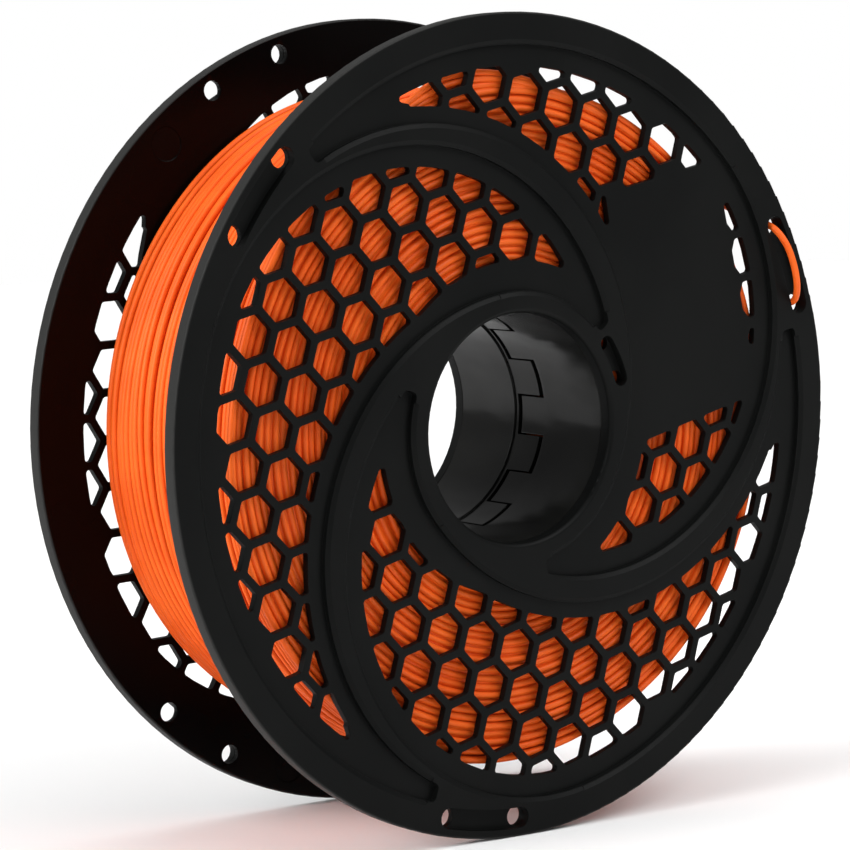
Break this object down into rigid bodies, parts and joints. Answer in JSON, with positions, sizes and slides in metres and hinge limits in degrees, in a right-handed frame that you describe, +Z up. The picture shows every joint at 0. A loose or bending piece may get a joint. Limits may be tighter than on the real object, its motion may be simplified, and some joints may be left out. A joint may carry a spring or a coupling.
{
  "type": "filament spool",
  "caption": "Wound spool of plastic filament, with perforated flanges joined at the hub and the filament end held in a rim channel.",
  "frame": {"origin": "middle of the bore, on the spool's axis at mid-width", "axes": "+Y along the spool's axis, out through the rear flange; +Z up, with the spool standing on its two rims; +X to the right as seen from the front flange"},
  "size_m": [0.2, 0.0683, 0.2],
  "materials": {
    "grained_black": "fine matte grain",
    "smooth_black": "smooth and glossy",
    "orange_filament": "satin"
  },
  "bodies": {
    "front_half": {"front_flange": "grained_black", "front_hub": "smooth_black", "filament_winding": "orange_filament", "filament_free_end": "orange_filament"},
    "rear_half": {"rear_flange": "grained_black", "rear_hub": "smooth_black"}
  },
  "joints": [
    {"name": "halves_pull_apart", "type": "slide", "parent": "front_half", "child": "rear_half", "axis": [0, 1, 0], "range_m": [0, 0.04]}
  ]
}
